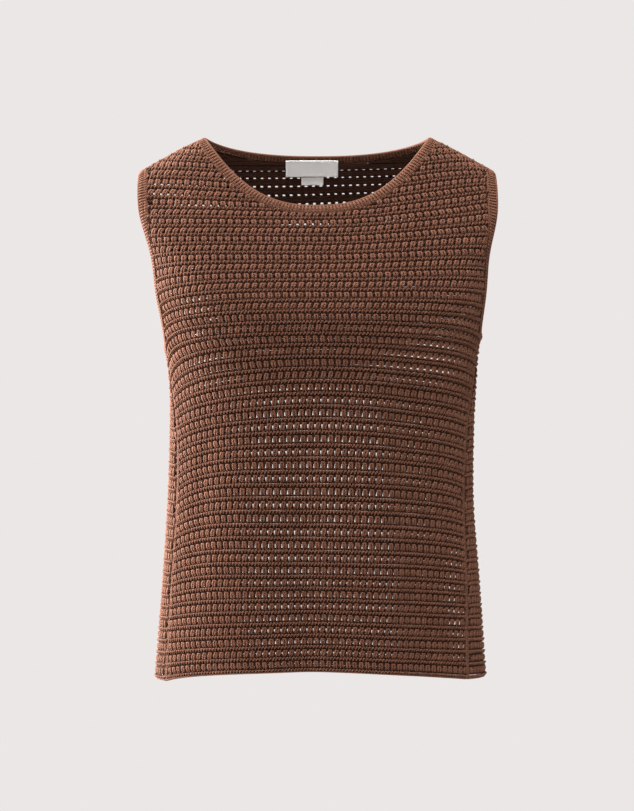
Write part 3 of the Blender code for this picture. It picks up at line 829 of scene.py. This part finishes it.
def to_the_sides(panel, across, course, bend, pitch):
    """The same places, and more at an even pitch from them to the side seams."""
    fine = np.linspace(-1.0, 1.0, ROW_SAMPLES)
    length = travelled(cloth(panel, fine, course + bend(fine)))
    ends = np.interp([across[0], across[-1]], fine, length)
    room = SEAM_ROOM + pitch / 2
    left = ends[0] - pitch * np.arange(math.floor((ends[0] - room) / pitch), 0, -1)
    right = ends[1] + pitch * np.arange(1, math.floor((length[-1] - room - ends[1]) / pitch) + 1)
    return np.concatenate((np.interp(left, length, fine), across, np.interp(right, length, fine)))


def knit_panel(panel, random, front_rows):
    """Places of a panel's ridge loops and posts, and the lines of its running yarns."""
    loops, posts, lines = [], [], []
    starts = course_starts(panel)
    rows = rows_behind(front_rows, starts) if panel == "back" else []
    for number, (start, following) in enumerate(zip(starts, starts[1:])):
        cell = float(read(CELLS, "width", start))
        wander = random.uniform(-WANDER, WANDER)
        shift = wander + random.uniform(-POST_WANDER, POST_WANDER)
        row = rows[number] if number < len(rows) else None
        tall = moved_course(rows, following) - moved_course(rows, start)

        def at_place(place):
            """The course at this place in the row, at its middle, and how it bends."""
            own = start + place * (following - start)
            middle = moved_course(rows, own)
            return middle, bending(row, own, middle)

        course, bend = at_place(OPEN_PLACE)
        if row is not None:
            across = to_the_sides(panel, row[1], course, bend, cell)
        else:
            across = across_a_row(panel, course, bend, cell, shift, POST_ROOM)
        if len(across):
            posts.append(placed(panel, across, course + bend(across), tall, cell, number % 2))
        course, bend = at_place(RIDGE_PLACE)
        across = across_a_row(panel, course, bend, cell / 2, 2 * wander + 0.5, LOOP_ROOM)
        if len(across):
            loops.append(placed(panel, across, course + bend(across), tall, cell, 0))
        for place, out, thickness in COURSE_YARNS[panel]:
            course, bend = at_place(place)
            if panel == "back" and row is None:
                thickness *= NECK_CLOSER
            for across in lines_along(panel, course, bend, cell):
                points = on_cloth(panel, across, course + bend(across), out)
                lines.append((points, thickness, False))
    return loops, posts, lines


knit_finish = cotton("knit_cotton", YARN_BROWN, YARN_PALE, KNIT_RELIEF)
# The yarns behind the stitches get a darker finish. It is painted shade, added to the shadow the
# render already casts on them.
inner_shade_finish = cotton("shaded_inner_cotton", YARN_BEHIND_SHADE, YARN_PAINTED_SHADE, KNIT_RELIEF)
LOOP_UNEVEN, POST_UNEVEN = (0.10, 0.06), (0.07, 0.06)      # tilt and swell
EDGE_SIDES = 6
posts = []
for panel, seed in (("front", 11), ("back", 23)):
    loops, posts, lines = knit_panel(panel, np.random.default_rng(seed), posts)
    # The running yarns take the finish with painted shade.
    courses = run_yarn(panel + "_courses", lines, inner_shade_finish, STITCH_SIDES)
    edges = run_yarn(panel + "_edges", edge_lines(panel), knit_finish, EDGE_SIDES)
    ridges = stitch(panel + "_ridges", loops, loop_shapes, knit_finish, LOOP_UNEVEN, seed)
    open_rows = stitch(panel + "_open_rows", posts, post_shapes, knit_finish, POST_UNEVEN,
                       seed + 1)
    for piece in (courses, edges, ridges, open_rows):
        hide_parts(panel + "_panel")
        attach(piece, "root")

# ----------------------------------------------------------------------------------- neckband
# A folded band of narrow rib runs all round the neck, linked to the panels with a chain of
# small loops. Its fold is a smooth roll along the top.
NECKBAND = {"width": 9.0, "rib": 3.75, "half": 1.15, "fold": 3.0}

# One rib, up one face of the band, into its fold and down the other: along, away from the
# seam, out and thickness, for a band 9 mm wide. The links of the chain lie along the seam.
RIB = (
    (0.0, 0.2, 0.5, 0.0),
    (0.0, 0.9, 0.70, 2.5),
    (0.0, 4.0, 0.85, 2.9),
    (0.0, 6.4, 0.60, 2.6),
    (0.0, 7.5, 0.00, 1.8),
    (0.0, 6.4, -0.60, 2.6),
    (0.0, 4.0, -0.85, 2.9),
    (0.0, 0.9, -0.70, 2.5),
    (0.0, 0.2, -0.5, 0.0),
)
LINKS = (
    ((-2.2, 0.0, 0.2, 0.0), (-1.0, 0.75, 0.6, 1.2), (1.1, 0.65, 0.7, 1.3), (2.2, 0.0, 0.2, 0.0)),
    ((-2.2, 0.0, 0.2, 0.0), (-1.0, -0.75, 0.6, 1.2), (1.1, -0.65, 0.7, 1.3), (2.2, 0.0, 0.2, 0.0)),
)
LOOP_ROUNDING = 4         # times the steps of a loop are averaged, to round its corners
# Yarns that run along inside a band: share of its width, and thickness
BAND_YARNS = ((0.14, 2.1), (0.36, 2.1), (0.58, 2.1), (0.78, 2.1))
BAND_STEP = 4.0           # between the points of those yarns
BAND_SIDES = 8
RIB_LIFT, LINK_OUT = 0.3, 1.1              # ribs away from the seam, and links out from it
RIB_UNEVEN, LINK_UNEVEN = (0.03, 0.05), (0.06, 0.05)       # tilt and swell
RIB_SIDES, LINK_SIDES = 6, 4
EDGE_SAMPLES = 1201       # along a panel's neck edge
rib_shapes = shapes("band_rib", [yarn_mesh("rib", [RIB], RIB_SIDES, (1.0, 0.0, 0.0))])
link_shapes = shapes("seam_link", [yarn_mesh("link", LINKS, LINK_SIDES)])


def shoulder_normal(x):
    """Upward direction square to the shoulder line."""
    slope = SHOULDER_SLOPE / (1 + np.exp((SHOULDER_START - np.abs(x)) / SHOULDER_EASE))
    return unit(np.stack((np.sign(x) * slope, np.zeros_like(x), np.ones_like(x)), axis=-1))


def close_loop(parts, pitch):
    """Join runs of (points, normals) into one closed loop of even steps, and give its points,
    its direction, the direction away from the cloth and the outward direction."""
    rows = np.concatenate([np.concatenate(part, axis=1) for part in parts])
    rows = np.concatenate((rows, rows[:1]))
    length = travelled(rows[:, :3])
    at = np.linspace(0, length[-1], int(round(length[-1] / pitch)), endpoint=False)
    rows = np.stack([np.interp(at, length, column) for column in rows.T], axis=1)
    for _ in range(LOOP_ROUNDING):
        rows = (np.roll(rows, 1, axis=0) + 2 * rows + np.roll(rows, -1, axis=0)) / 4
    even, outward = rows[:, :3], unit(rows[:, 3:])
    along = unit(np.roll(even, -1, axis=0) - np.roll(even, 1, axis=0))
    outward = unit(outward - along * (outward * along).sum(axis=1, keepdims=True))
    return even, along, np.cross(along, outward), outward


def neck_loop(pitch):
    """The neck edge: along the front from right to left, then along the back."""
    parts = []
    for panel, turn in (("front", -1), ("back", 1)):
        across = np.linspace(-1.0, 1.0, EDGE_SAMPLES)[::turn]
        courses = top_course(panel, across, 0.0, 0.0)
        points = cloth(panel, across, courses)
        kept = np.abs(points[:, 0]) < NECK_HALF_WIDTH
        end = np.array([NECK_HALF_WIDTH * turn])
        corner = np.stack((end, 0 * end, shoulder_line(end)), axis=1)
        normals = cloth_axes(panel, across[kept], courses[kept])[2]
        parts.append((np.concatenate((points[kept], corner)),
                      np.concatenate((normals, shoulder_normal(end)))))
    return close_loop(parts, pitch)


def band(name, loop, sizes, finish, seed):
    """Ribs, inner yarns, fold and seam chain of a band, away from an edge of the cloth."""
    points, along, away, outward = loop(sizes["rib"])
    along = -along        # so that a stitch's own upward direction is away from the seam
    width, count = sizes["width"], len(points)
    size = np.tile((sizes["rib"] / NECKBAND["rib"], width / NECKBAND["width"],
                    sizes["half"] / NECKBAND["half"]), (count, 1))
    flat = np.zeros(count)
    ribs = stitch(name + "_ribs", [(points + away * RIB_LIFT, along, outward, size, flat)],
                  rib_shapes, finish, RIB_UNEVEN, seed)
    links = stitch(name + "_chain", [(points + outward * LINK_OUT, along, outward, size, flat)],
                   link_shapes, finish, LINK_UNEVEN, seed + 1)
    points, along, away, outward = loop(BAND_STEP)
    lines = [(points + away * width * share, thickness, True) for share, thickness in BAND_YARNS]
    lines.append((points + away * (width - sizes["fold"] / 2), sizes["fold"], True))
    core = run_yarn(name + "_fold", lines, finish, BAND_SIDES)
    for piece in (core, ribs, links):
        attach(piece, "root")
    return core, ribs, links


rib_finish = cotton("rib_cotton", YARN_BROWN, YARN_PALE, RIB_RELIEF)
core, ribs, links = band("neckband", neck_loop, NECKBAND, rib_finish, 31)
for piece in (core, ribs, links):
    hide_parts("neckband")

# ------------------------------------------------------------------------------ armhole trims
# Each armhole has a folded band of the same rib, a little finer, linked on in the same way.
TRIM = {"width": 9.5, "rib": 3.3, "half": 1.05, "fold": 2.8}
ARMHOLE_SAMPLES = 400     # along an armhole's edge of a panel


def armhole_loop(side):
    """An armhole's edge, down the front and up the back, or the other way on the right."""
    def loop(pitch):
        parts = []
        for panel, down in (("front", side < 0), ("back", side > 0)):
            end = np.full(ARMHOLE_SAMPLES, float(side))
            top = top_course(panel, end[:1], 0.0, 0.0)[0]
            courses = np.linspace(UNDERARM_COURSE, top, ARMHOLE_SAMPLES)
            points, normals = cloth(panel, end, courses), cloth_axes(panel, end, courses)[2]
            normals[-1] = shoulder_normal(points[-1:, 0])[0]
            points[-1, 1] = 0.0
            turn = -1 if down else 1
            parts.append((points[::turn][:-1], normals[::turn][:-1]))
        return close_loop(parts if side < 0 else parts[::-1], pitch)
    return loop


for name, side, seed in (("armhole_trim_left", -1, 41), ("armhole_trim_right", 1, 43)):
    core, ribs, links = band(name, armhole_loop(side), TRIM, rib_finish, seed)
    for piece in (core, ribs, links):
        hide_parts(name)

# The single stitches have all been placed
for collection in (loop_shapes, post_shapes, rib_shapes, link_shapes):
    for item in list(collection.objects):
        bpy.data.objects.remove(item)
    bpy.data.collections.remove(collection)

# --------------------------------------------------------------------- neck label and size tab
# A white woven label, bare, is sewn flat inside the back neck by its two ends, and a small
# white tab hangs from its lower edge. Each is a thin satin ribbon with woven edges.
LABEL = {"x": -5.5, "top": -0.5, "width": 57.0, "height": 16.0, "thick": 0.6, "inward": 2.4,
         "fold": 3.2, "curl": 0.8}
SIZE_TAB = {"x": -5.0, "top": -12.5, "width": 24.0, "height": 12.5, "thick": 0.5, "inward": 1.5,
            "fold": 0.0, "curl": 1.6}
LABEL_WHITE = (0.90, 0.89, 0.875, 1.0)
EDGE_WHITE = (0.95, 0.945, 0.93, 1.0)
WARP_SCALE, WEFT_SCALE = 18.0, 24.0        # of the threads, in radians to a millimetre
WOVEN_EDGE = 1.1          # width of the woven edges
EDGE_RELIEF, THREAD_RELIEF = 2.0, 0.1      # of the edges, in threads, and of a thread
SATIN_ROUGHNESS, THREAD_ROUGHNESS = 0.55, 0.08
SATIN_BUMP = 0.5
RIBBON_GRID = (48, 14)
RIBBON_STEPS = 24         # to find a place on the cloth by its height
END_TURN, END_STEP = 0.45, 0.8             # how thick the turned ends are, and their edge


def ribbon(name, size):
    """A thin ribbon that follows the inside of the back neck, with its ends turned under."""
    wide, high = RIBBON_GRID
    x = size["x"] + size["width"] * (np.linspace(0, 1, wide + 1) - 0.5)
    mesh = bmesh.new()
    layer = mesh.loops.layers.uv.new("weave")
    layers = []
    for face_out in (0.0, size["thick"]):
        rows = []
        for share in np.linspace(0, 1, high + 1):
            height = size["top"] - size["height"] * share
            low, top = np.full(wide + 1, LOW_COURSE), np.full(wide + 1, TOP_COURSE)
            across = -x / HALF_PANEL
            for _ in range(RIBBON_STEPS):
                middle = (low + top) / 2
                above = cloth("back", across, middle)[:, 2] > height
                low, top = np.where(above, low, middle), np.where(above, middle, top)
                point = cloth("back", across, low)
                across = across + (x - point[:, 0]) / HALF_PANEL
            inward = -cloth_axes("back", across, low)[2]
            from_end = np.minimum(x - x[0], x[-1] - x)
            lift = size["inward"] + size["curl"] * share ** 2 + face_out
            if size["fold"]:
                lift = lift + END_TURN * ease((size["fold"] - from_end) / END_STEP)
            placed_row = point + inward * np.reshape(lift, (-1, 1))
            rows.append([mesh.verts.new(place * MM) for place in placed_row])
        layers.append(rows)
    for rows, flip in zip(layers, (True, False)):
        for i in range(high):
            for j in range(wide):
                corners = [(i, j), (i, j + 1), (i + 1, j + 1), (i + 1, j)]
                if flip:
                    corners.reverse()
                made = mesh.faces.new([rows[a][b] for a, b in corners])
                made.smooth = True
                for loop, (a, b) in zip(made.loops, corners):
                    loop[layer].uv = (b / wide * size["width"], a / high * size["height"])
    rims = [[rows[end] for rows in layers] for end in (0, -1)]
    rims += [[[row[end] for row in rows] for rows in layers] for end in (0, -1)]
    for near, far in rims:
        for i in range(len(near) - 1):
            mesh.faces.new((near[i], near[i + 1], far[i + 1], far[i]))
    bmesh.ops.recalc_face_normals(mesh, faces=mesh.faces)
    made = mesh_object(name, mesh)
    bpy.context.scene.collection.objects.link(made)
    return made


def satin(name, height):
    """White woven satin: fine threads, and brighter woven edges along the long sides."""
    made, tree, shader = new_material(name, {"Sheen Weight": 0.15, "Specular IOR Level": 0.4})
    place = add_node(tree, "ShaderNodeUVMap", uv_map="weave")[0]
    across, down, _ = add_node(tree, "ShaderNodeSeparateXYZ", (place,))
    warp = step(tree, "SINE", step(tree, "MULTIPLY", across, WARP_SCALE))
    weft = step(tree, "SINE", step(tree, "MULTIPLY", down, WEFT_SCALE))
    threads = step(tree, "MULTIPLY", warp, weft)
    from_middle = step(tree, "ABSOLUTE", step(tree, "SUBTRACT", down, height / 2))
    border = step(tree, "LESS_THAN", step(tree, "SUBTRACT", height / 2, from_middle),
                  WOVEN_EDGE)
    rough = step(tree, "ADD", step(tree, "MULTIPLY", threads, THREAD_ROUGHNESS), SATIN_ROUGHNESS)
    relief = step(tree, "ADD", threads, step(tree, "MULTIPLY", border, EDGE_RELIEF))
    fill(tree, shader, {"Base Color": mix(tree, border, LABEL_WHITE, EDGE_WHITE),
                        "Roughness": rough,
                        "Normal": bump(tree, SATIN_BUMP, THREAD_RELIEF, relief)})
    return made


for name, size in (("neck_label", LABEL), ("size_tab", SIZE_TAB)):
    piece = ribbon(name + "_ribbon", size)
    piece.data.materials.append(satin(name + "_satin", size["height"]))
    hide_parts(name)
    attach(piece, "root")

# ---------------------------------------------------------------------------- floor and light
# A pale floor well below, pale surroundings, and soft lights: the strongest from the left and
# from above, and weak ones from the front and the right.
SURROUNDINGS = (0.831, 0.799, 0.791, 1.0)
ROOM_LIGHT = 0.3
FLOOR_HEIGHT, FLOOR_RADIUS, FLOOR_SIDES = -1.2, 2.4, 96
FLOOR_GREY, FLOOR_ROUGHNESS = (0.72, 0.69, 0.68, 1.0), 0.9
# Name, place, size and power
LIGHTS = (
    ("rim", (-2.0, 0.7, 0.4), (0.8, 1.4), 345.0),
    ("left", (-2.2, -0.2, 0.1), (0.8, 1.4), 72.0),
    ("top", (0.0, -0.4, 2.0), (1.2, 1.0), 130.0),
    ("front", (0.0, -1.5, 1.4), (1.2, 1.0), 36.0),
    ("right", (2.2, -0.2, 0.1), (0.8, 1.4), 12.0),
)
for name, place, size, power in LIGHTS:
    data = bpy.data.lights.new(name, "AREA")
    data.shape = "RECTANGLE"
    data.size, data.size_y = size
    data.energy = power
    light = bpy.data.objects.new(name, data)
    light.location = place
    aim = Vector((0.0, 0.0, CAMERA_PLACE[2])) - Vector(place)
    light.rotation_euler = aim.to_track_quat("-Z", "Y").to_euler()
    bpy.context.scene.collection.objects.link(light)

# The surroundings look pale, and light the garment more softly than they look
world = bpy.data.worlds.new("surroundings")
world.use_nodes = True
tree = world.node_tree
room = tree.nodes["Background"]
fill(tree, room.inputs, {"Color": SURROUNDINGS, "Strength": ROOM_LIGHT})
backdrop = add_node(tree, "ShaderNodeBackground", {"Color": SURROUNDINGS, "Strength": 1.0})[0]
seen = add_node(tree, "ShaderNodeLightPath")["Is Camera Ray"]
both = add_node(tree, "ShaderNodeMixShader", (seen, room.outputs[0], backdrop))[0]
fill(tree, tree.nodes["World Output"].inputs, {"Surface": both})
bpy.context.scene.world = world
bpy.context.scene.view_settings.view_transform = "Standard"

floor_mesh = bmesh.new()
bmesh.ops.create_circle(floor_mesh, cap_ends=True, segments=FLOOR_SIDES, radius=FLOOR_RADIUS)
bmesh.ops.translate(floor_mesh, verts=floor_mesh.verts, vec=(0.0, 0.0, FLOOR_HEIGHT))
floor = mesh_object("floor", floor_mesh)
bpy.context.scene.collection.objects.link(floor)
floor_finish = new_material("pale_floor", {"Base Color": FLOOR_GREY,
                                           "Roughness": FLOOR_ROUGHNESS})[0]
floor.data.materials.append(floor_finish)
